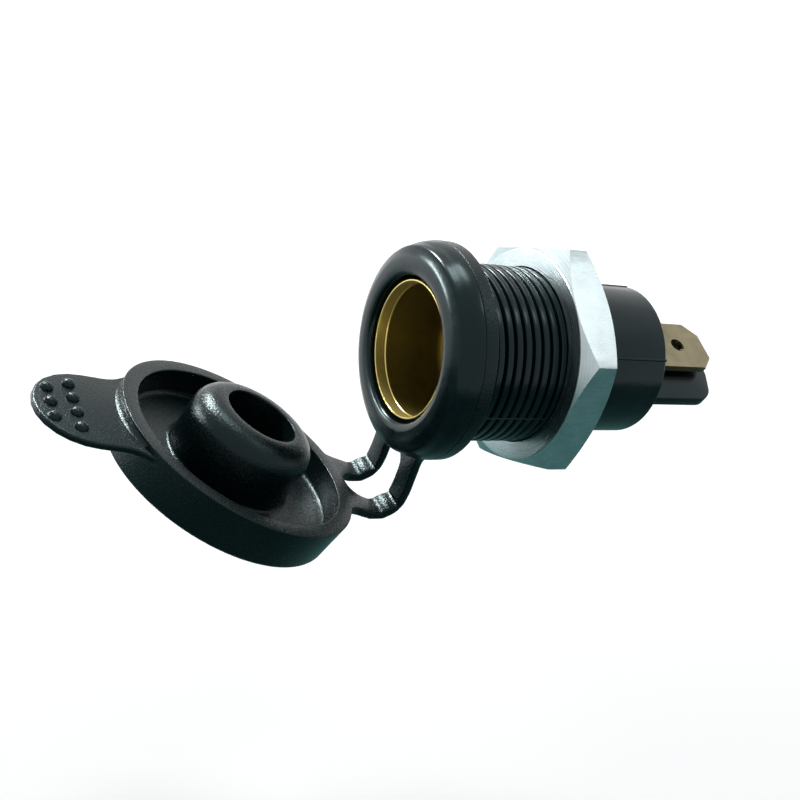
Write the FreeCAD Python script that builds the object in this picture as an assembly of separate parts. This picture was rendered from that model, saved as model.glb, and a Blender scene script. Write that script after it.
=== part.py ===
import FreeCAD, Part
import math
import os

# Panel power socket with a hinged rubber cap, as it sits in a panel with the cap hanging open.
# Millimetres. +Y runs along the bore to the rear, +Z is up and the cap's strap hangs straight down.
# The origin is on the bore's axis, in the face that seats on the panel.

# Fits
seat_gap = 0.02
thread_gap = 0.05
strap_gap = 0.05
fold_gap = 0.2
hinge_gap = 0.1
cap_side_gap = 0.48
cap_front_gap = 0.27

# Flange, from the front face back to the strap ring; it stands out from the barrel by its step
flange_front = -4.23
flange_step = 1.8
lip_step = 0.4
lip_round = 1.05
flange_shoulder = 0.73
mouth_step = 0.42
mouth_depth = 3.2
mouth_bevel = 0.3

# Barrel for an 18 mm hole, its thread drawn as rings up to the nut, rear body and insulating tongue
barrel_radius = 9.0
barrel_end = 14.6
barrel_chamfer = 0.6
thread_start = 0.5
thread_depth = 0.55
thread_rings = 7
body_wall = 1.0
body_end = 23.0
floor = 17.0
tongue_width = 11.8
tongue_thick = 1.26
tongue_tip = 34.45
tongue_tip_width = 4.4
tongue_shoulder = 0.95
tongue_corner = 1.7

# Brass sleeve round the plug, with its walls, and its lug
plug_radius = 6.1
plug_wall = 0.78
sleeve_front = -3.5
mouth_wall = 0.25
sleeve_mouth_end = 4.0
plug_start = 4.8
plug_end = 11.0
rear_wall = 0.58
lug_width = 4.4
lug_end = 19.6

# Centre contact
contact_radius = 3.1
contact_bore = 2.45
contact_front = 11.4
contact_base = 0.8
contact_slot = 0.7
contact_slot_end = 15.0
tail_radius = 2.1
tail_flat = 0.4
tail_end = 21.0

# Push-on blades
blade_width = 6.3
blade_thick = 0.8
blade_tip = 34.78
blade_chamfer = 1.5
blade_bevel = 0.2
blade_hole = 0.85
blade_hole_back = 4.1
blade_offset = 1.63
blade_side = 0.65
blade_root = 18.0
riser_front = 18.4
blade_turn = 17.0

# Retaining nut, as the photo shows it turned
nut_flats = 22.0
nut_front = 9.22
nut_thick = 4.2
nut_face_radius = 10.9
nut_chamfer_angle = 30.0
nut_turn = 27.7

# Strap ring and the two arms with the fold between them
ring_thick = 1.4
ring_overhang = 0.07
arm_inner = 1.85
arm_outer = 4.35
arm_thick = 0.95
arm_drop = 0.35
arm_flare = 1.4
cap_flare = 2.4
strap_reach = 4.6
hinge_bead = 0.62
ring_web = 0.73
cap_web = 0.8

# Rubber cap
cap_open = 70.0
cap_wall = 1.62
cap_taper = 0.45
cap_depth = 4.52
boss_gap = 0.17
boss_height = 3.68
boss_shoulder = 2.2
boss_hole = 3.74
boss_hole_floor = -2.6
tab_drop = 0.8
tab_droop = 10.5
tab_thick = 0.7
tab_round = 5.3
tab_out = 2.8
tab_fillet = 0.75
dot_radius = 0.65
dot_height = 0.45
dot_sides = 8
dot_pitch = 2.16
dot_row = 2.17
dot_margin = 1.55

# Derived places
rim_y = -ring_thick - fold_gap
hinge_y = (rim_y - arm_drop - arm_thick) / 2
sleeve_radius = plug_radius + plug_wall
sleeve_mouth_radius = sleeve_radius - mouth_wall
sleeve_rear_radius = sleeve_radius - rear_wall
flange_radius = barrel_radius + flange_step
lip_radius = flange_radius - lip_step
ring_radius = flange_radius + ring_overhang
mouth_radius = sleeve_radius + mouth_step
body_radius = sleeve_radius + body_wall
boss_radius = sleeve_mouth_radius - boss_gap
cap_wall_radius = flange_radius + cap_side_gap
cap_rim_radius = cap_wall_radius + cap_wall
cap_back_radius = cap_rim_radius - cap_taper
hinge_radius = cap_rim_radius + strap_reach
tab_reach = cap_rim_radius + tab_out
cup_depth = rim_y - flange_front + cap_front_gap
nut_corner = nut_flats / 2 / math.cos(math.radians(30))

X_AXIS = FreeCAD.Vector(1, 0, 0)
Y_AXIS = FreeCAD.Vector(0, 1, 0)
Z_AXIS = FreeCAD.Vector(0, 0, 1)
ORIGIN = FreeCAD.Vector(0, 0, 0)


def turned(*points):
    """Solid turned about the Y axis from the (radius, y) points of its section."""
    wire = Part.makePolygon([FreeCAD.Vector(r, y, 0) for r, y in points + points[:1]])
    return Part.Face(wire).revolve(ORIGIN, Y_AXIS, 360)


def rounded(centre_r, centre_y, radius, first, last, steps):
    """Points of a round drawn in straight steps, between two angles from the outward direction."""
    angles = [math.radians(first + (last - first) * i / steps) for i in range(steps + 1)]
    return [(centre_r + radius * math.cos(a), centre_y + radius * math.sin(a)) for a in angles]


def rod(radius, y0, y1):
    """Round bar along the Y axis."""
    return Part.makeCylinder(radius, y1 - y0, FreeCAD.Vector(0, y0, 0), Y_AXIS)


def block(x0, x1, y0, y1, z0, z1):
    """Box between the given limits."""
    return Part.makeBox(x1 - x0, y1 - y0, z1 - z0, FreeCAD.Vector(x0, y0, z0))


def flat_sided(corner, sides, turn, y0, y1):
    """Bar with flat sides along the Y axis, its first corner turned from +X."""
    angles = [math.radians(turn + 360 * i / sides) for i in range(sides + 1)]
    wire = Part.makePolygon([FreeCAD.Vector(corner * math.cos(a), y0, corner * math.sin(a)) for a in angles])
    return Part.Face(wire).extrude(Y_AXIS * (y1 - y0))


def cross_rod(radius, half):
    """Round bar along X on the hinge line."""
    return Part.makeCylinder(radius, 2 * half, FreeCAD.Vector(-half, hinge_y, -hinge_radius), X_AXIS)


def flares(radius, blend, y0, y1):
    """Two fillets of the given blend that lead the arms' outer sides into a round edge."""
    side = arm_outer + blend
    drop = math.sqrt((radius + blend) ** 2 - side ** 2)
    share = radius / (radius + blend)
    bend = math.hypot(side, drop)
    middle_x = side - blend * (side / bend + 1) / math.hypot(side / bend + 1, drop / bend)
    middle_z = drop - blend * (drop / bend) / math.hypot(side / bend + 1, drop / bend)
    start = FreeCAD.Vector(arm_outer, y0, -drop)
    middle = FreeCAD.Vector(middle_x, y0, -middle_z)
    end = FreeCAD.Vector(side * share, y0, -drop * share)
    inner = FreeCAD.Vector(arm_inner, y0, -drop * share)
    edges = [Part.Arc(start, middle, end).toShape(), Part.makeLine(end, inner),
             Part.makeLine(inner, FreeCAD.Vector(arm_inner, y0, -drop)),
             Part.makeLine(FreeCAD.Vector(arm_inner, y0, -drop), start)]
    one = Part.Face(Part.Wire(edges)).extrude(Y_AXIS * (y1 - y0))
    return one.fuse(one.mirror(ORIGIN, X_AXIS))


def arm_pair(y0, y1, radius, web, blend):
    """Two parallel arms hanging down from a round edge, joined by a web with a round-ended slot below."""
    slot_top = -radius - web - arm_inner
    bar = block(-arm_outer, arm_outer, y0, y1, -hinge_radius, 0)
    slot = block(-arm_inner, arm_inner, y0, y1, -hinge_radius, slot_top)
    end = rod(arm_inner, y0, y1).translated(Z_AXIS * slot_top)
    return bar.fuse(flares(radius, blend, y0, y1)).cut(slot.fuse(end))


def blade_plate(root):
    """Push-on blade lying flat about Z = 0, with cut corners, bevelled tip edges and a hole."""
    half = blade_width / 2
    shoulder = blade_tip - blade_chamfer
    outline = [(-half, root), (half, root), (half, shoulder), (half - blade_chamfer, blade_tip),
               (blade_chamfer - half, blade_tip), (-half, shoulder), (-half, root)]
    wire = Part.makePolygon([FreeCAD.Vector(x, y, -blade_thick / 2) for x, y in outline])
    plate = Part.Face(wire).extrude(Z_AXIS * blade_thick)
    tips = [e for e in plate.Edges if min(v.Y for v in e.Vertexes) > shoulder - 0.01
            and abs(e.Vertexes[0].Z - e.Vertexes[-1].Z) < 0.01]
    plate = plate.makeChamfer(blade_bevel, tips)
    hole_at = FreeCAD.Vector(0, blade_tip - blade_hole_back, -blade_thick)
    return plate.cut(Part.makeCylinder(blade_hole, 2 * blade_thick, hole_at, Z_AXIS))


def in_housing(shape):
    """Turns what belongs to the housing about the bore, as the socket was set in the panel."""
    return shape.copy().rotate(ORIGIN, Y_AXIS, blade_turn)


os.makedirs("parts", exist_ok=True)

# Housing: one turned moulding, with the tongue on its rear face
lip_top = flange_front + lip_round
mouth_end = flange_front + mouth_depth
ring_pitch = (nut_front - thread_start) / thread_rings
thread = [(barrel_radius, thread_start)]
for i in range(thread_rings):
    thread.append((barrel_radius - thread_depth, thread_start + (i + 0.5) * ring_pitch))
    thread.append((barrel_radius, thread_start + (i + 1) * ring_pitch))
moulding = turned(
    (0, floor), (sleeve_radius + seat_gap, floor), (sleeve_radius + seat_gap, mouth_end),
    (mouth_radius, mouth_end), (mouth_radius, flange_front + mouth_bevel),
    (mouth_radius + mouth_bevel, flange_front),
    *rounded(lip_radius - lip_round, lip_top, lip_round, -90, 0, 2),
    (flange_radius, lip_top + flange_shoulder), (flange_radius, -ring_thick),
    (barrel_radius, -ring_thick), *thread, (barrel_radius, barrel_end - barrel_chamfer),
    (barrel_radius - barrel_chamfer, barrel_end), (body_radius, barrel_end), (body_radius, body_end),
    (0, body_end))

half = tongue_width / 2
tip_half = tongue_tip_width / 2
shoulder_y = tongue_tip - tongue_shoulder
side_y = shoulder_y - tongue_corner
corner_x = half - 0.3 * tongue_corner
round_x = half - 0.75 * tongue_corner
right = [FreeCAD.Vector(half, body_end - 1, 0), FreeCAD.Vector(half, side_y, 0),
         FreeCAD.Vector(corner_x, shoulder_y - 0.35 * tongue_corner, 0),
         FreeCAD.Vector(round_x, shoulder_y, 0),
         FreeCAD.Vector(tip_half, tongue_tip, 0)]
left = [FreeCAD.Vector(-p.x, p.y, 0) for p in right]
tongue_edges = [
    Part.makeLine(left[0], right[0]), Part.makeLine(right[0], right[1]),
    Part.Arc(right[1], right[2], right[3]).toShape(), Part.makeLine(right[3], right[4]),
    Part.makeLine(right[4], left[4]), Part.makeLine(left[4], left[3]),
    Part.Arc(left[3], left[2], left[1]).toShape(), Part.makeLine(left[1], left[0])]
tongue = Part.Face(Part.Wire(tongue_edges)).extrude(Z_AXIS * tongue_thick)
tongue.translate(Z_AXIS * (-tongue_thick / 2))

# Brass sleeve, turned, with a lug that reaches back to the earth blade
sleeve_tube = turned(
    (sleeve_radius, sleeve_front), (sleeve_mouth_radius, sleeve_front),
    (sleeve_mouth_radius, sleeve_mouth_end),
    (plug_radius, plug_start), (plug_radius, plug_end), (sleeve_rear_radius, plug_end),
    (sleeve_rear_radius, floor), (sleeve_radius, floor))
lug_ring = rod(sleeve_radius, floor - 1, lug_end).cut(rod(sleeve_rear_radius, floor - 1, lug_end))
lug = lug_ring.common(block(-lug_width / 2, lug_width / 2, floor - 1, lug_end, -sleeve_radius, 0))
sleeve = sleeve_tube.fuse(lug).removeSplitter()

# Centre contact: a slotted cup on a tail, with flats for the blade and clear of the other blade
blade_under = blade_offset - blade_thick / 2
cup = turned(
    (0, floor - contact_base), (contact_bore, floor - contact_base), (contact_bore, contact_front),
    (contact_radius, contact_front), (contact_radius, floor),
    (tail_radius, floor), (tail_radius, tail_end), (0, tail_end))
reach = contact_radius + 1
slot_half = contact_slot / 2
slots = block(-reach, reach, contact_front, contact_slot_end, -slot_half, slot_half)
slots = slots.fuse(block(-slot_half, slot_half, contact_front, contact_slot_end, -reach, reach))
flats = block(-tail_radius, tail_radius, blade_root, tail_end, blade_under, tail_radius)
flats = flats.fuse(block(-tail_radius, tail_radius, blade_root, tail_end, -tail_radius, -tail_flat))
contact = cup.cut(slots).cut(flats)

# Blades: the centre one lies on the tail's flat, the earth one is cranked out to the lug
centre_blade = blade_plate(blade_root).translated(FreeCAD.Vector(-blade_side, 0, blade_offset))
riser_back = riser_front + blade_thick
riser = block(-lug_width / 2, lug_width / 2, riser_front, riser_back, -sleeve_radius, -blade_under)
riser = riser.common(rod(sleeve_rear_radius, riser_front, riser_back))
earth_blade = blade_plate(riser_front).translated(FreeCAD.Vector(blade_side, 0, -blade_offset))
earth_blade = earth_blade.fuse(riser).removeSplitter()

housing = moulding.fuse(tongue).removeSplitter()
for metal in (rod(tail_radius, floor - 1, tail_end).cut(flats), lug, centre_blade, earth_blade):
    housing = housing.cut(metal)

in_housing(housing).exportStep("parts/housing.step")
in_housing(sleeve).exportStep("parts/contact_sleeve.step")
in_housing(contact).exportStep("parts/centre_contact.step")
in_housing(centre_blade).exportStep("parts/centre_blade.step")
in_housing(earth_blade).exportStep("parts/earth_blade.step")

# Retaining nut: a hexagon bar cut by its two chamfer cones and its bore
nut_back = nut_front + nut_thick
slope = math.tan(math.radians(nut_chamfer_angle))
cone_radius = nut_corner + 0.5
cone_depth = (cone_radius - nut_face_radius) * slope
nut_bore = barrel_radius + thread_gap
nut_round = turned(
    (nut_bore, nut_front), (nut_face_radius, nut_front), (cone_radius, nut_front + cone_depth),
    (cone_radius, nut_back - cone_depth), (nut_face_radius, nut_back), (nut_bore, nut_back))
nut = flat_sided(nut_corner, 6, nut_turn, nut_front, nut_back).common(nut_round)
nut.exportStep("parts/retaining_nut.step")

# Strap ring with the upper arms, hollowed at their ends for the bead of the fold
ring_bore = barrel_radius + strap_gap
ring = rod(ring_radius, -ring_thick, 0).cut(rod(ring_bore, -ring_thick, 0))
upper = arm_pair(-arm_thick, 0, flange_radius, ring_web, arm_flare)
upper = upper.cut(rod(ring_bore, -arm_thick, 0))
strap = ring.fuse(upper).removeSplitter()
strap = strap.cut(cross_rod(hinge_bead + hinge_gap, arm_outer))
strap.exportStep("parts/strap_ring.step")

# Cap, drawn closed on the socket and then swung open about the fold
shoulder_r = boss_radius - boss_shoulder
shoulder_z = boss_height - boss_shoulder
back = rim_y - cap_depth
cup_floor = rim_y - cup_depth
cup_shell = turned(
    (0, back), (cap_back_radius, back), (cap_rim_radius, rim_y), (cap_wall_radius, rim_y),
    (cap_wall_radius, cup_floor), (boss_radius, cup_floor),
    *rounded(shoulder_r, rim_y + shoulder_z, boss_shoulder, 0, 90, 3),
    (boss_hole, rim_y + boss_height),
    (boss_hole, rim_y + boss_hole_floor), (0, rim_y + boss_hole_floor))

tab_top = rim_y - tab_drop
tab_low = tab_top - tab_thick
tab_start = math.sqrt(cap_wall_radius ** 2 - tab_round ** 2)
tab_side = [FreeCAD.Vector(tab_round, tab_low, z) for z in (tab_start, tab_reach)]
tab_far = [FreeCAD.Vector(-p.x, p.y, p.z) for p in tab_side]
tab_edges = [
    Part.makeLine(tab_far[0], tab_side[0]), Part.makeLine(tab_side[0], tab_side[1]),
    Part.Arc(tab_side[1], FreeCAD.Vector(0, tab_low, tab_reach + tab_round), tab_far[1]).toShape(),
    Part.makeLine(tab_far[1], tab_far[0])]
tab_plan = Part.Face(Part.Wire(tab_edges))
tab_inside = tab_top - tab_thick / 2
fillet_foot = tab_top - tab_fillet * math.tan(math.radians(tab_droop))
root_fillet = turned(
    (cap_wall_radius, tab_inside), (cap_rim_radius + tab_fillet, tab_inside),
    (cap_rim_radius + tab_fillet, fillet_foot), (cap_rim_radius, tab_top + tab_fillet),
    (cap_wall_radius, tab_top + tab_fillet))
root_fillet = root_fillet.common(tab_plan.extrude(Y_AXIS * (tab_thick + tab_fillet)))
tab = tab_plan.extrude(Y_AXIS * tab_thick)
tab_root = FreeCAD.Vector(0, tab_top, cap_rim_radius)
tab.rotate(tab_root, X_AXIS, tab_droop)
tab = tab.fuse(root_fillet)

arm_top = rim_y - arm_drop
lower = arm_pair(arm_top - arm_thick, arm_top, cap_rim_radius, cap_web, cap_flare)
fold = cross_rod(hinge_bead, arm_outer)
fold = fold.cut(block(-arm_inner, arm_inner, hinge_y - hinge_bead, hinge_y + hinge_bead,
                      -hinge_radius - hinge_bead, hinge_bead - hinge_radius))
hollow = rod(cap_wall_radius + cap_wall / 2, back, rim_y)
cap = cup_shell.fuse([tab.cut(hollow), lower.fuse(fold).cut(hollow)]).removeSplitter()

outer_row = tab_reach + tab_round - dot_margin
dots = [(dot_pitch * (i - 1), outer_row) for i in range(3)]
dots += [(dot_pitch * (i - 1.5), outer_row - dot_row) for i in range(4)]
for x, z in dots:
    dot = flat_sided(dot_radius, dot_sides, 0, tab_inside, tab_top + dot_height)
    dot = dot.translated(FreeCAD.Vector(x, 0, z))
    dot.rotate(tab_root, X_AXIS, tab_droop)
    cap = cap.fuse(dot)

cap = cap.removeSplitter()
cap.rotate(FreeCAD.Vector(0, hinge_y, -hinge_radius), X_AXIS, cap_open)
cap.exportStep("parts/cap.step")
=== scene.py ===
import math

import bmesh
import bpy
from mathutils import Matrix, Vector


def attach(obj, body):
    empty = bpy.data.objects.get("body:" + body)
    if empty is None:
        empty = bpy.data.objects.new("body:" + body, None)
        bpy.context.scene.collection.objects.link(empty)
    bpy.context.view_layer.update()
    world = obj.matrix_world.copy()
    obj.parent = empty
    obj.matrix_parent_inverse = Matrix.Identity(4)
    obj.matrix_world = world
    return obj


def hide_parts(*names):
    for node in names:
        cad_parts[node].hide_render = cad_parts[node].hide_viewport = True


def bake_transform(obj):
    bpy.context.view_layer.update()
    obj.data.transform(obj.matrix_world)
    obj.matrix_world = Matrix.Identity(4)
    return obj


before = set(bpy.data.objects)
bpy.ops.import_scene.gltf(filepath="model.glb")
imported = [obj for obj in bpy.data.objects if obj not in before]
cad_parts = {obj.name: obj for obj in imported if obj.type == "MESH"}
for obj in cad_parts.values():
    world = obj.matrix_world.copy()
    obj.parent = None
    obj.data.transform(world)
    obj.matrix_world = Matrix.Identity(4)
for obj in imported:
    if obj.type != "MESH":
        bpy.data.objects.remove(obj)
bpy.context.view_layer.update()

MM = 0.001
SHARP = math.radians(35)

# Sizes in millimetres, the same as in the part's source
HINGE = Vector((0, -1.45, -17.5))
CAP_OPEN = math.radians(70)
BLADE_TURN = math.radians(17)
NUT_TURN = math.radians(27.7)
THREAD_PITCH = 1.05
THREAD_ROOT = 8.5
THREAD_CREST = 9.0
THREAD_TURNS = 12
STEPS_A_TURN = 72
BODY_RADIUS = 7.88
BODY_FRONT = 14.6
BODY_REAR = 23.0
TONGUE_HALF = 5.9
TONGUE_FAR_HALF = 5.3
TONGUE_THICK = 1.26
SLEEVE_RADIUS = 6.88
SLEEVE_BORE = 6.58
SLEEVE_THROAT = 6.1
SLEEVE_REAR = 17.0
LUG_WIDTH = 4.4
NUT_BORE = 9.05
NUT_FACE = 10.9
NUT_ROUND = 13.2
NUT_FLAT = 11.0
NUT_FRONT = 9.22
NUT_REAR = 13.42
NUT_CHAMFER = 1.33
FOLD_START = 4.1
FOLD_END = -1.9
FOLD_STEPS = 48
RING_RADIUS = 10.87
RING_THICK = 1.4
CUP_BACK = -6.12
CUP_FLOOR = -4.5
CUP_RIM = -1.6
CUP_RADIUS = 12.9
CUP_INSIDE = 11.28
BOSS_RADIUS = 6.46
BOSS_HOLE = 3.74
BOSS_TOP = 2.08
TAB_ROOT = Vector((0, -2.4, 12.9))
TAB_DROOP = math.radians(10.5)
TAB_HALF = 5.3
TAB_THICK = 0.7
DOT_RADIUS = 0.65
DOT_PITCH = 2.16
FILLET_HALF = math.radians(23)


# Ways of shaping

def draw_line(bm, corners, plane, closed=False):
    """Draws a line through (a, b, rounding) corners in a plane and rounds the corners that ask for it."""
    verts = [bm.verts.new(plane(a, b)) for a, b, _ in corners]
    edges = [bm.edges.new(pair) for pair in zip(verts, verts[1:])]
    if closed:
        edges.append(bm.edges.new((verts[-1], verts[0])))
    before = set(bm.verts) - set(verts)
    for vert, (_, _, rounding) in zip(verts, corners):
        if rounding:
            bmesh.ops.bevel(bm, geom=[vert], offset=rounding, offset_type="OFFSET", segments=6,
                            profile=0.5, affect="VERTICES", material=-1, clamp_overlap=False)
    line = [v for v in bm.verts if v not in before]
    return line + [e for e in bm.edges if e.verts[0] not in before]


# Planes to draw in

def in_section(r, y):
    return r, y, 0


def in_plan(x, y):
    return x, y, 0


def across(x, z):
    return x, 0, z


def from_the_side(y, z):
    return 0, y, z


# Ways of giving a drawing its body

def turn(bm, corners, steps=160, angle=math.tau, closed=True):
    """Turns a section about the bore's axis."""
    line = draw_line(bm, corners, in_section, closed)
    bmesh.ops.spin(bm, geom=line, cent=(0, 0, 0), axis=(0, 1, 0), dvec=(0, 0, 0), angle=angle,
                   steps=steps, use_merge=angle == math.tau, use_normal_flip=False, use_duplicate=False)


def cut_sheet(bm, corners, plane, depth):
    """Cuts a flat outline and gives it its thickness."""
    line = draw_line(bm, corners, plane, closed=True)
    made = bmesh.ops.contextual_create(bm, geom=line)
    raised = bmesh.ops.extrude_face_region(bm, geom=made["faces"], use_keep_orig=True)
    top = [item for item in raised["geom"] if isinstance(item, bmesh.types.BMVert)]
    bmesh.ops.translate(bm, verts=top, vec=depth)
    return [item for item in line if isinstance(item, bmesh.types.BMVert)] + top


def mirrored(half):
    """The other half of an outline that is the same on both sides."""
    return half + [(-x, y, rounding) for x, y, rounding in reversed(half) if x > 0]


def soften(bm, offset, angle=math.radians(50), segments=2, among=None):
    """Rounds the sharp edges a little."""
    edges = [e for e in (among or bm.edges) if e.is_manifold and e.calc_face_angle(0) > angle]
    bmesh.ops.bevel(bm, geom=edges, offset=offset, offset_type="OFFSET", segments=segments,
                    profile=0.5, affect="EDGES", material=-1, clamp_overlap=True)


def swing_open(bm, verts):
    """Takes what is drawn on the shut cap to where the open cap hangs."""
    bmesh.ops.rotate(bm, verts=verts, cent=HINGE, matrix=Matrix.Rotation(CAP_OPEN, 3, "X"))


def about_bore(bm, verts, angle):
    """Turns what is drawn at the right of the bore to its place round it."""
    bmesh.ops.rotate(bm, verts=verts, cent=(0, 0, 0), matrix=Matrix.Rotation(angle, 3, "Y"))


def make_piece(bm, name, finish):
    """Closes the mesh, brings it to metres and makes the object."""
    bmesh.ops.remove_doubles(bm, verts=bm.verts[:], dist=0.002)
    bmesh.ops.recalc_face_normals(bm, faces=bm.faces[:])
    bmesh.ops.scale(bm, vec=(MM, MM, MM), verts=bm.verts[:])
    for face in bm.faces:
        face.smooth = True
    for edge in bm.edges:
        edge.smooth = edge.calc_face_angle(0) < SHARP
    mesh = bpy.data.meshes.new(name)
    bm.to_mesh(mesh)
    bm.free()
    mesh.materials.append(finish)
    piece = bpy.data.objects.new(name, mesh)
    bpy.context.scene.collection.objects.link(piece)
    return piece


# Finishes

class Finish:
    """A material with the nodes that its patterns need."""

    def __init__(self, name, **sockets):
        self.material = bpy.data.materials.new(name)
        self.material.use_nodes = True
        self.nodes = self.material.node_tree.nodes
        self.links = self.material.node_tree.links
        self.shader = self.nodes["Principled BSDF"]
        for socket, value in sockets.items():
            self.shader.inputs[socket.replace("_", " ")].default_value = value
        self.place = self.nodes.new("ShaderNodeTexCoord").outputs["Object"]

    def node(self, kind, settings=(), **inputs):
        made = self.nodes.new("ShaderNode" + kind)
        for setting, value in dict(settings).items():
            setattr(made, setting, value)
        for socket, value in inputs.items():
            self.feed(made.inputs[socket.replace("_", " ")], value)
        return made

    def feed(self, socket, value):
        if isinstance(value, bpy.types.NodeSocket):
            self.links.new(value, socket)
        else:
            socket.default_value = value

    def stretched(self, x, y, z):
        return self.node("Mapping", Vector=self.place, Scale=(x, y, z)).outputs["Vector"]

    def noise(self, scale, detail=4.0, roughness=0.55, place=None):
        made = self.node("TexNoise", Vector=place or self.place, Scale=scale, Detail=detail, Roughness=roughness)
        return made.outputs["Fac"]

    def ramp(self, value, low, high, start, end):
        made = self.node("MapRange", {"clamp": True}, Value=value)
        for index, number in enumerate((low, high, start, end)):
            made.inputs[index + 1].default_value = number
        return made.outputs["Result"]

    def mix(self, amount, first, second):
        made = self.node("Mix", {"data_type": "RGBA"})
        self.feed(made.inputs[0], amount)
        self.feed(made.inputs[6], first)
        self.feed(made.inputs[7], second)
        return made.outputs[2]

    def maths(self, operation, first, second):
        made = self.node("Math", {"operation": operation})
        self.feed(made.inputs[0], first)
        self.feed(made.inputs[1], second)
        return made.outputs[0]

    def bump(self, height, strength, distance, below=None):
        made = self.node("Bump", Height=height, Strength=strength, Distance=distance)
        if below:
            self.links.new(below, made.inputs["Normal"])
        return made.outputs["Normal"]

    def set(self, **inputs):
        for socket, value in inputs.items():
            self.feed(self.shader.inputs[socket.replace("_", " ")], value)


def moulded_plastic():
    """Black plastic from a polished mould, with a faint cloudiness and fine wipe marks."""
    finish = Finish("moulded_black_plastic", Specular_IOR_Level=0.24, Specular_Tint=(0.66, 0.96, 1, 1))
    cloud = finish.noise(260, 3)
    wipe = finish.noise(900, 5, place=finish.stretched(1, 0.15, 1))
    shade = finish.mix(finish.ramp(cloud, 0.35, 0.7, 0, 1), (0.0012, 0.0055, 0.0062, 1), (0.003, 0.0085, 0.0095, 1))
    finish.set(Base_Color=shade, Roughness=finish.ramp(wipe, 0.3, 0.7, 0.18, 0.28),
               Normal=finish.bump(wipe, 0.05, 0.0001, below=finish.bump(cloud, 0.12, 0.0004)))
    return finish.material


def soft_rubber():
    """Matt black rubber with a fine sandy skin and a few specks of dust."""
    finish = Finish("soft_black_rubber", Specular_IOR_Level=0.23, Specular_Tint=(0.68, 0.97, 1, 1))
    cloud = finish.noise(180, 4)
    skin = finish.noise(5200, 2, 0.6)
    dust = finish.node("TexVoronoi", {"feature": "F1"}, Vector=finish.place, Scale=900.0)
    speck = finish.ramp(dust.outputs["Distance"], 0.05, 0.09, 1, 0)
    chosen = finish.ramp(finish.node("SeparateColor", Color=dust.outputs["Color"]).outputs[0], 0.965, 0.97, 0, 1)
    dusty = finish.maths("MULTIPLY", speck, chosen)
    shade = finish.mix(finish.ramp(cloud, 0.3, 0.7, 0, 1), (0.0012, 0.005, 0.0055, 1), (0.0032, 0.008, 0.0088, 1))
    finish.set(Base_Color=finish.mix(dusty, shade, (0.35, 0.38, 0.38, 1)),
               Roughness=finish.ramp(skin, 0.3, 0.7, 0.18, 0.3), Normal=finish.bump(skin, 0.6, 0.00008))
    return finish.material


def turned_brass():
    """Brass turned with fine rings round the bore, with painted shade that makes its colour much darker further into
    the bore, where it is also rougher.
    """
    finish = Finish("turned_brass", Metallic=0.66)
    rings = finish.noise(1.0, 3, place=finish.stretched(60, 9000, 60))
    stain = finish.noise(220, 4)
    depth = finish.node("SeparateXYZ", Vector=finish.place).outputs[1]
    # Mask for the inside of the bore: it makes the brass rougher there and paints shade into its colour.
    deep_shade_and_dullness = finish.ramp(depth, -0.0024, -0.0022, 0, 1)
    rim = finish.mix(finish.ramp(stain, 0.35, 0.7, 0, 1), (0.85, 0.71, 0.26, 1), (0.72, 0.57, 0.17, 1))
    # Painted shade: a much darker copy of the rim's brass, for the inside of the bore.
    bore = finish.mix(finish.ramp(stain, 0.35, 0.7, 0, 1), (0.24, 0.185, 0.04, 1), (0.17, 0.128, 0.025, 1))
    gloss = finish.maths("ADD", finish.ramp(rings, 0.3, 0.7, 0.16, 0.28), finish.maths("MULTIPLY", deep_shade_and_dullness, 0.14))
    # The colour goes from the rim's brass to the painted shade inside the bore.
    finish.set(Base_Color=finish.mix(deep_shade_and_dullness, rim, bore), Roughness=gloss, Normal=finish.bump(rings, 0.12, 0.00003))
    return finish.material


def rolled_brass():
    """Dull brass strip with rolling marks along the blade and a light tarnish."""
    finish = Finish("rolled_brass", Metallic=1.0)
    rolling = finish.noise(1.0, 4, place=finish.stretched(3800, 160, 3800))
    tarnish = finish.noise(420, 5, 0.6)
    shade = finish.mix(finish.ramp(tarnish, 0.35, 0.68, 0, 1), (0.25, 0.222, 0.138, 1), (0.18, 0.157, 0.094, 1))
    finish.set(Base_Color=shade, Roughness=finish.ramp(rolling, 0.3, 0.7, 0.3, 0.46),
               Normal=finish.bump(rolling, 0.15, 0.00003))
    return finish.material


def nut_metal():
    """Bright metal, faced on the lathe at both ends and drawn along the flats."""
    finish = Finish("faced_nut_metal", Metallic=1.0, Specular_Tint=(0.78, 0.9, 0.9, 1))
    spot = finish.node("SeparateXYZ", Vector=finish.place)
    radius = finish.maths("SQRT", finish.maths("ADD", finish.maths("POWER", spot.outputs[0], 2.0),
                                               finish.maths("POWER", spot.outputs[2], 2.0)), 0.0)
    faced = finish.node("TexNoise", {"noise_dimensions": "1D"}, W=radius, Scale=9000.0, Detail=3.0).outputs["Fac"]
    drawn = finish.noise(1.0, 4, place=finish.stretched(4200, 240, 4200))
    facing = finish.node("SeparateXYZ", Vector=finish.nodes["Texture Coordinate"].outputs["Normal"]).outputs[1]
    on_end = finish.ramp(finish.maths("ABSOLUTE", facing, 0.0), 0.55, 0.75, 0, 1)
    marks = finish.node("Mix", {"data_type": "FLOAT"})
    finish.feed(marks.inputs[0], on_end)
    finish.feed(marks.inputs[2], drawn)
    finish.feed(marks.inputs[3], faced)
    wear = finish.noise(380, 5, 0.6)
    shade = finish.mix(finish.ramp(wear, 0.35, 0.7, 0, 1), (0.5, 0.575, 0.595, 1), (0.41, 0.475, 0.49, 1))
    finish.set(Base_Color=shade, Roughness=finish.ramp(marks.outputs[0], 0.3, 0.7, 0.24, 0.34),
               Normal=finish.bump(marks.outputs[0], 0.05, 0.00003))
    return finish.material


plastic = moulded_plastic()
rubber = soft_rubber()
brass = turned_brass()
blade_brass = rolled_brass()
silver = nut_metal()


# Housing: flange, threaded barrel, rear body and tongue in one moulding

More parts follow.
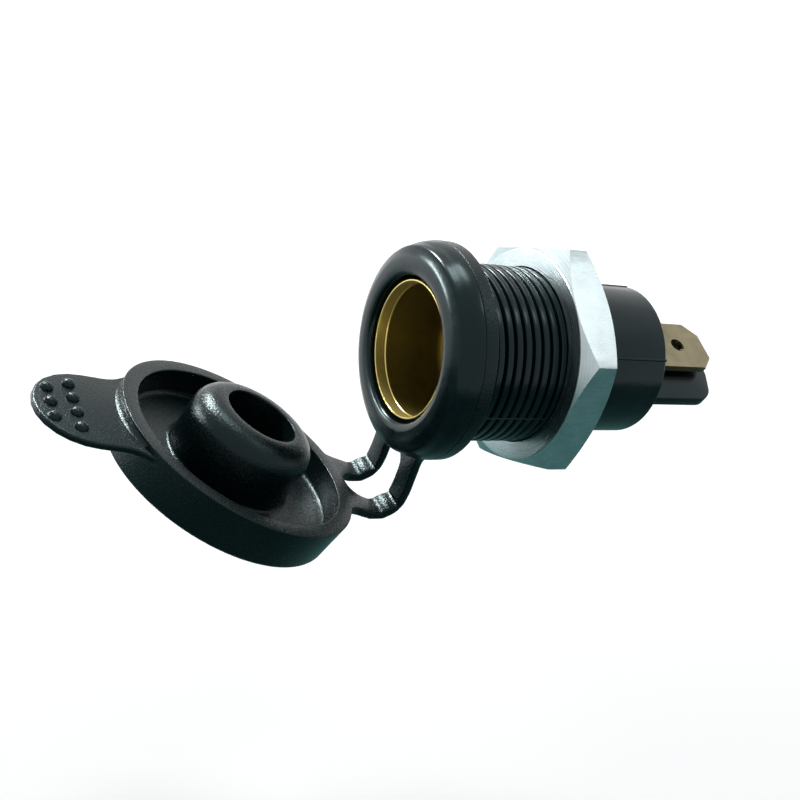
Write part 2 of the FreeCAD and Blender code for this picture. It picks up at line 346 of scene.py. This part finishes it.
def cut_thread(bm):
    """Winds the thread's section along the barrel and fades it at both ends."""
    others = set(bm.verts)
    section = [(THREAD_ROOT, 0.0, 0), (THREAD_ROOT, 0.08, 0.04), (THREAD_CREST, 0.27, 0.1),
               (THREAD_CREST, 0.88, 0.1), (THREAD_ROOT, THREAD_PITCH, 0)]
    line = draw_line(bm, section, in_section)
    start = [item for item in line if isinstance(item, bmesh.types.BMVert)]
    wound = bmesh.ops.spin(bm, geom=line, cent=(0, 0, 0), axis=(0, 1, 0), dvec=(0, THREAD_PITCH / STEPS_A_TURN, 0),
                           angle=math.tau * THREAD_TURNS, steps=STEPS_A_TURN * THREAD_TURNS, use_merge=False,
                           use_normal_flip=False, use_duplicate=False)
    end = [item for item in wound["geom_last"] if isinstance(item, bmesh.types.BMVert)]
    bmesh.ops.contextual_create(bm, geom=start)
    bmesh.ops.contextual_create(bm, geom=end)
    thread = [v for v in bm.verts if v not in others]
    about_bore(bm, thread, math.radians(140))
    bmesh.ops.translate(bm, verts=thread, vec=(0, 0.5, 0))
    for vert in thread:
        radius = math.hypot(vert.co.x, vert.co.z)
        from_end = min(vert.co.y - 0.45, 14.45 - vert.co.y)
        limit = THREAD_ROOT + max(0.0, min(1.0, from_end / 0.75)) * (THREAD_CREST - THREAD_ROOT)
        if radius > limit:
            vert.co.x *= limit / radius
            vert.co.z *= limit / radius


def flash_line(bm, angle, radius, front, rear, width=0.3, rise=0.1):
    """The fine round line along the moulding where the mould's halves met."""
    line = bmesh.ops.create_cone(bm, cap_ends=True, cap_tris=False, segments=16, radius1=width / 2,
                                 radius2=width / 2, depth=rear - front)["verts"]
    bmesh.ops.rotate(bm, verts=line, cent=(0, 0, 0), matrix=Matrix.Rotation(math.pi / 2, 3, "X"))
    bmesh.ops.translate(bm, verts=line, vec=(radius + rise - width / 2, (front + rear) / 2, 0))
    about_bore(bm, line, -angle)


def raised_rib(bm, angle, radius, front, rear, width, rise):
    """A plain bar that stands up along the moulding."""
    bar = bmesh.ops.create_cube(bm, size=1)["verts"]
    bmesh.ops.scale(bm, vec=(2 * rise + 0.2, rear - front, width), verts=bar)
    bmesh.ops.translate(bm, verts=bar, vec=(radius - 0.1, (front + rear) / 2, 0))
    about_bore(bm, bar, -angle)


def housing():
    bm = bmesh.new()
    tongue = [(TONGUE_HALF, 21.5, 0), (TONGUE_HALF, 33.1, 1.6), (2.2, 34.45, 0.4),
              (-2.2, 34.45, 0.4), (-TONGUE_FAR_HALF, 33.1, 1.6), (-TONGUE_FAR_HALF, 21.5, 0)]
    cut_sheet(bm, tongue, in_plan, (0, 0, TONGUE_THICK))
    bmesh.ops.translate(bm, verts=bm.verts[:], vec=(0, 0, -TONGUE_THICK / 2))
    about_bore(bm, bm.verts[:], BLADE_TURN)
    soften(bm, 0.16, segments=3)
    bore = [(0, SLEEVE_REAR, 0), (6.9, SLEEVE_REAR, 0), (6.9, -1.03, 0), (7.3, -1.03, 0)]
    lip = [(7.3, -3.9, 0.2), (7.75, -4.16, 0.4), (8.45, -4.23, 0.6), (9.4, -4.12, 0.8), (10.28, -3.62, 0.7),
           (10.4, -3.0, 0.5), (10.78, -2.15, 0.7), (10.84, -1.41, 0.1)]
    barrel = [(9.0, -1.41, 0), (9.0, 0.2, 0.1), (8.46, 0.45, 0), (8.46, 14.2, 0), (8.1, BODY_FRONT, 0.1)]
    body = [(BODY_RADIUS, BODY_FRONT, 0), (BODY_RADIUS, BODY_REAR, 0.3), (0, BODY_REAR, 0)]
    turn(bm, bore + lip + barrel + body, closed=False)
    for angle in (32, 114, 212):
        flash_line(bm, math.radians(angle), BODY_RADIUS, BODY_FRONT, BODY_REAR - 0.1)
    raised_rib(bm, math.radians(121), BODY_RADIUS, BODY_FRONT, 17.9, width=1.5, rise=0.36)
    flash_line(bm, math.radians(-12.6), 8.98, 0.3, 13.8, width=0.2, rise=0.06)
    cut_thread(bm)
    return make_piece(bm, "socket_housing", plastic)


# Brass sleeve with its bright rolled-in rim, and the lug behind it

def contact_sleeve():
    bm = bmesh.new()
    rim = [(SLEEVE_RADIUS, -3.5, 0.04), (6.72, -3.5, 0.05), (6.64, -2.4, 0.08)]
    inside = [(SLEEVE_BORE, -2.34, 0.05), (SLEEVE_BORE, 4.0, 0.3), (SLEEVE_THROAT, 4.8, 0.3),
              (SLEEVE_THROAT, 11.0, 0.05), (6.3, 11.1, 0), (6.3, SLEEVE_REAR, 0)]
    turn(bm, [(SLEEVE_RADIUS, SLEEVE_REAR, 0)] + rim + inside)
    tube = set(bm.verts)
    lug_angle = 2 * math.asin(LUG_WIDTH / 2 / 6.6)
    turn(bm, [(SLEEVE_RADIUS, 16.5, 0), (SLEEVE_RADIUS, 19.6, 0), (6.3, 19.6, 0), (6.3, 16.5, 0)],
         steps=10, angle=lug_angle)
    lug = [v for v in bm.verts if v not in tube]
    about_bore(bm, lug, math.pi / 2 - lug_angle / 2 + BLADE_TURN)
    bmesh.ops.holes_fill(bm, edges=[e for e in bm.edges if e.is_boundary], sides=4)
    return make_piece(bm, "brass_sleeve", brass)


# Hexagon nut: a chamfered ring with six flats cut on it

def retaining_nut():
    bm = bmesh.new()
    break_edge = 0.08
    front = [(NUT_BORE, NUT_FRONT + break_edge, 0), (NUT_BORE + break_edge, NUT_FRONT, 0), (NUT_FACE, NUT_FRONT, 0.1),
             (NUT_ROUND, NUT_FRONT + NUT_CHAMFER, 0)]
    rear = [(r, NUT_FRONT + NUT_REAR - y, rounding) for r, y, rounding in reversed(front)]
    turn(bm, front + rear, steps=180)
    for side in range(6):
        angle = NUT_TURN + math.radians(30 + 60 * side)
        out = Vector((math.cos(angle), 0, math.sin(angle)))
        cut = bmesh.ops.bisect_plane(bm, geom=bm.verts[:] + bm.edges[:] + bm.faces[:], dist=0.0001,
                                     plane_co=out * NUT_FLAT, plane_no=out, clear_outer=True)
        edges = [item for item in cut["geom_cut"] if isinstance(item, bmesh.types.BMEdge)]
        bmesh.ops.contextual_create(bm, geom=edges)
    corners = [e for e in bm.edges if e.calc_length() > 1 and min(v.co.xz.length for v in e.verts) > 12]
    soften(bm, 0.12, among=corners)
    return make_piece(bm, "hexagon_nut", silver)


# Strap: ring, two arms and the fold, one moulding with the cap

def even_steps(corners, steps):
    """Points at even steps along a line with rounded corners, seen from the side."""
    bm = bmesh.new()
    draw_line(bm, corners, from_the_side)
    bm.verts.ensure_lookup_table()
    here = min(bm.verts, key=lambda v: (v.co.yz - Vector(corners[0][:2])).length)
    path = [here.co.copy()]
    seen = {here}
    while True:
        onward = [e.other_vert(here) for e in here.link_edges if e.other_vert(here) not in seen]
        if not onward:
            break
        here = onward[0]
        seen.add(here)
        path.append(here.co.copy())
    bm.free()
    lengths = [(b - a).length for a, b in zip(path, path[1:])]
    points = []
    for i in range(steps + 1):
        left = sum(lengths) * i / steps
        for start, end, length in zip(path, path[1:], lengths):
            if left <= length or end is path[-1]:
                points.append(start.lerp(end, min(left / length, 1)))
                break
            left -= length
    return points


def bend_strap(verts):
    """Bends the flat strap over its fold; its height is the place along it and its depth runs from face to back."""
    face_line = [(-0.93, -13.4, 0), (-0.93, -15.3, 1.0), (-1.08, -16.25, 0.12), (-0.92, -16.46, 0.12),
                 (-1.26, -16.64, 0.15), (-1.95, -16.74, 0.5), (-2.75, -17.52, 0.5), (-3.4, -17.301, 0)]
    back_line = [(-0.02, -13.4, 0), (-0.02, -15.3, 1.0), (-0.35, -16.7, 1.0), (-1.2, -17.75, 1.0),
                 (-2.2, -18.25, 0.8), (-3.725, -18.194, 0)]
    face = even_steps(face_line, FOLD_STEPS)
    back = even_steps(back_line, FOLD_STEPS)
    for vert in verts:
        x, depth, along = vert.co
        place = (FOLD_START - along) / (FOLD_START - FOLD_END) * FOLD_STEPS
        step = min(max(int(place), 0), FOLD_STEPS - 1)
        over = place - step
        near = face[step].lerp(face[step + 1], min(max(over, 0), 1))
        far = back[step].lerp(back[step + 1], min(max(over, 0), 1))
        spot = near.lerp(far, depth)
        if over < 0:
            spot.z += along - FOLD_START
        elif over > 1:
            spot += Vector((0, -math.sin(CAP_OPEN), math.cos(CAP_OPEN))) * (FOLD_END - along)
        vert.co = x, spot.y, spot.z


def strap():
    bm = bmesh.new()
    half = [(0, 6.1, 0), (0, 7.3, 0), (4.0, 8.1, 0), (7.0, 9.3, 0), (4.35, 7.6, 1.3), (4.35, -5.3, 1.6),
            (6.5, -6.55, 0), (0, -5.6, 0), (0, -3.8, 0), (1.85, -3.8, 1.75), (1.85, 6.1, 1.75)]
    cut_sheet(bm, half, across, (0, 1, 0))
    middle = [f for f in bm.faces if max(abs(v.co.x) for v in f.verts) < 0.001]
    bmesh.ops.delete(bm, geom=middle, context="FACES")
    bmesh.ops.mirror(bm, geom=bm.verts[:] + bm.edges[:] + bm.faces[:], axis="X", merge_dist=0.002)
    bmesh.ops.recalc_face_normals(bm, faces=bm.faces[:])
    soften(bm, 0.2, angle=math.radians(70), segments=3)
    for i in range(FOLD_STEPS + 1):
        along = FOLD_START + (FOLD_END - FOLD_START) * i / FOLD_STEPS
        bmesh.ops.bisect_plane(bm, geom=bm.verts[:] + bm.edges[:] + bm.faces[:], dist=0.0001,
                               plane_co=(0, 0, along), plane_no=(0, 0, 1))
    bend_strap(bm.verts)
    turn(bm, [(9.05, -RING_THICK, 0), (RING_RADIUS, -RING_THICK, 0.1), (RING_RADIUS, 0, 0.15), (9.05, 0, 0)])
    return make_piece(bm, "strap", rubber)


# Cap: cup, plug boss and pull tab

def cap():
    bm = bmesh.new()
    tab = mirrored([(0, 11.6, 0), (6.5, 10.95, 0), (TAB_HALF, 12.7, 0.9), (TAB_HALF, 21.0, 5.25)])
    cut_sheet(bm, tab, across, (0, TAB_THICK, 0))
    bmesh.ops.translate(bm, verts=bm.verts[:], vec=(0, TAB_ROOT.y - TAB_THICK, 0))
    soften(bm, 0.2, segments=3)
    for dots, z in ((3, 19.45), (4, 17.28)):
        for i in range(dots):
            dot = bmesh.ops.create_uvsphere(bm, u_segments=20, v_segments=12, radius=DOT_RADIUS)["verts"]
            bmesh.ops.scale(bm, vec=(1, 0.9, 1), verts=dot)
            bmesh.ops.translate(bm, verts=dot, vec=(DOT_PITCH * (i - (dots - 1) / 2), TAB_ROOT.y - 0.05, z))
    bmesh.ops.rotate(bm, verts=bm.verts[:], cent=TAB_ROOT, matrix=Matrix.Rotation(TAB_DROOP, 3, "X"))
    tab_and_dots = set(bm.verts)
    turn(bm, [(12.4, -1.64, 0), (12.86, -1.64, 0), (12.88, -2.5, 0.75), (13.8, -2.62, 0), (13.8, -2.85, 0),
              (12.4, -2.85, 0)], steps=24, angle=2 * FILLET_HALF)
    bmesh.ops.holes_fill(bm, edges=[e for e in bm.edges if e.is_boundary], sides=0)
    about_bore(bm, [v for v in bm.verts if v not in tab_and_dots], -math.pi / 2 - FILLET_HALF)
    cup = [(0, CUP_BACK, 0), (12.45, CUP_BACK, 0.4), (CUP_RADIUS, CUP_RIM, 0.14), (CUP_INSIDE, CUP_RIM, 0.16),
           (CUP_INSIDE, CUP_FLOOR, 0.6)]
    boss = [(BOSS_RADIUS, CUP_FLOOR, 0.5), (BOSS_RADIUS, BOSS_TOP, 2.2), (BOSS_HOLE, BOSS_TOP, 0.16),
            (BOSS_HOLE, -4.2, 0.3), (0, -4.2, 0)]
    turn(bm, cup + boss, closed=False)
    swing_open(bm, bm.verts[:])
    return make_piece(bm, "dust_cap", rubber)


socket_housing = housing()
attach(socket_housing, "socket")
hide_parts("housing")

brass_sleeve = contact_sleeve()
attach(brass_sleeve, "socket")
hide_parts("contact_sleeve")

hexagon_nut = retaining_nut()
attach(hexagon_nut, "nut")
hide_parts("retaining_nut")

dust_cap = cap()
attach(dust_cap, "cap")
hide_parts("cap")

strap_piece = strap()
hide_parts("strap_ring")
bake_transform(strap_piece)

for node, finish in (("centre_contact", brass), ("centre_blade", blade_brass), ("earth_blade", blade_brass)):
    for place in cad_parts[node].material_slots:
        place.material = finish


# Floor, light and camera

def flat_stage(name, half_width, half_length, centre, finish):
    """A flat sheet of the studio, in metres."""
    bm = bmesh.new()
    bmesh.ops.create_grid(bm, x_segments=1, y_segments=1, size=1)
    bmesh.ops.scale(bm, vec=(half_width, half_length, 1), verts=bm.verts[:])
    bmesh.ops.translate(bm, verts=bm.verts[:], vec=centre)
    mesh = bpy.data.meshes.new(name)
    bm.to_mesh(mesh)
    bm.free()
    mesh.materials.append(finish)
    sheet = bpy.data.objects.new(name, mesh)
    bpy.context.scene.collection.objects.link(sheet)
    return sheet


def pale_floor():
    """Pale floor that goes over into the white surround away from the object, and keeps its shadow near it."""
    finish = Finish("pale_floor", Base_Color=(0.86, 0.86, 0.86, 1), Roughness=0.9, Specular_IOR_Level=0.0)
    path = finish.node("LightPath")
    away = finish.node("VectorMath", {"operation": "LENGTH"})
    finish.feed(away.inputs[0], finish.place)
    lift = finish.ramp(away.outputs["Value"], 0.08, 0.7, 0.2, 1.0)
    seen = finish.maths("MAXIMUM", path.outputs["Is Camera Ray"], path.outputs["Is Glossy Ray"])
    seen = finish.maths("MAXIMUM", seen, path.outputs["Is Transmission Ray"])
    finish.set(Emission_Color=(1, 1, 1, 1), Emission_Strength=finish.maths("MULTIPLY", seen, lift))
    flat_stage("studio_floor", 4, 4, (0, 0, -0.06), finish.material)


def teal_card():
    """Card under the object that only its metal and its dark undersides see."""
    finish = Finish("teal_card", Roughness=0.8)
    finish.set(Base_Color=finish.mix(finish.noise(40, 2), (0.055, 0.18, 0.178, 1), (0.065, 0.205, 0.20, 1)))
    card = flat_stage("studio_card", 0.28, 0.45, (0.225, 0.05, -0.055), finish.material)
    card.visible_camera = False
    card.visible_shadow = False
    card.visible_diffuse = False


def white_surround():
    """White where the camera, reflections and glass see it, and a soft light for the rest."""
    world = bpy.data.worlds.new("studio_surround")
    world.use_nodes = True
    bpy.context.scene.world = world
    nodes = world.node_tree.nodes
    links = world.node_tree.links
    soft = nodes["Background"]
    soft.inputs["Color"].default_value = (0.93, 0.97, 1, 1)
    soft.inputs["Strength"].default_value = 0.2
    white = nodes.new("ShaderNodeBackground")
    white.inputs["Color"].default_value = (1, 1, 1, 1)
    path = nodes.new("ShaderNodeLightPath")
    seen = path.outputs["Is Camera Ray"]
    for ray in ("Is Glossy Ray", "Is Transmission Ray"):
        either = nodes.new("ShaderNodeMath")
        either.operation = "MAXIMUM"
        links.new(seen, either.inputs[0])
        links.new(path.outputs[ray], either.inputs[1])
        seen = either.outputs[0]
    choice = nodes.new("ShaderNodeMixShader")
    links.new(seen, choice.inputs[0])
    links.new(soft.outputs[0], choice.inputs[1])
    links.new(white.outputs[0], choice.inputs[2])
    links.new(choice.outputs[0], nodes["World Output"].inputs["Surface"])


def softbox(name, place, width, height, power, lights_up=True):
    """A soft lamp that faces the object; one that doesn't light it up shows in reflections alone."""
    light = bpy.data.lights.new(name, "AREA")
    light.shape = "RECTANGLE"
    light.size = width
    light.size_y = height
    light.energy = power
    lamp = bpy.data.objects.new(name, light)
    lamp.location = place
    lamp.rotation_euler = (-Vector(place)).to_track_quat("-Z", "Y").to_euler()
    lamp.visible_camera = False
    lamp.visible_diffuse = lights_up
    bpy.context.scene.collection.objects.link(lamp)


def photo_camera():
    """The camera that was fitted to the photograph."""
    right = Vector((0.39182494, 0.87123658, 0.29566881))
    up = Vector((-0.57926218, -0.01606416, 0.81498299))
    back = Vector((0.71479266, -0.49060042, 0.49838006))
    lens = bpy.data.cameras.new("photo_camera")
    lens.sensor_width = 36
    lens.lens = 50.448
    lens.clip_start = 0.005
    camera = bpy.data.objects.new("photo_camera", lens)
    turned = Matrix((right, up, back)).transposed().to_4x4()
    camera.matrix_world = Matrix.Translation((0.081278, -0.058064, 0.050594)) @ turned
    bpy.context.scene.collection.objects.link(camera)
    bpy.context.scene.camera = camera


pale_floor()
teal_card()
white_surround()
softbox("top_softbox", (-0.19, 0.02, 0.41), 0.15, 0.15, 0.8)
softbox("left_softbox", (-0.35, -0.095, 0.26), 0.06, 0.06, 1.2)
softbox("left_mirror", (-0.345, -0.094, 0.256), 0.1, 0.1, 3.0, lights_up=False)
softbox("front_strip", (-0.34, -0.37, 0.02), 0.2, 0.04, 1.5)
softbox("rear_softbox", (0.064, 0.22, 0.387), 0.1, 0.1, 0.15)
photo_camera()
bpy.context.scene.view_settings.view_transform = "Standard"
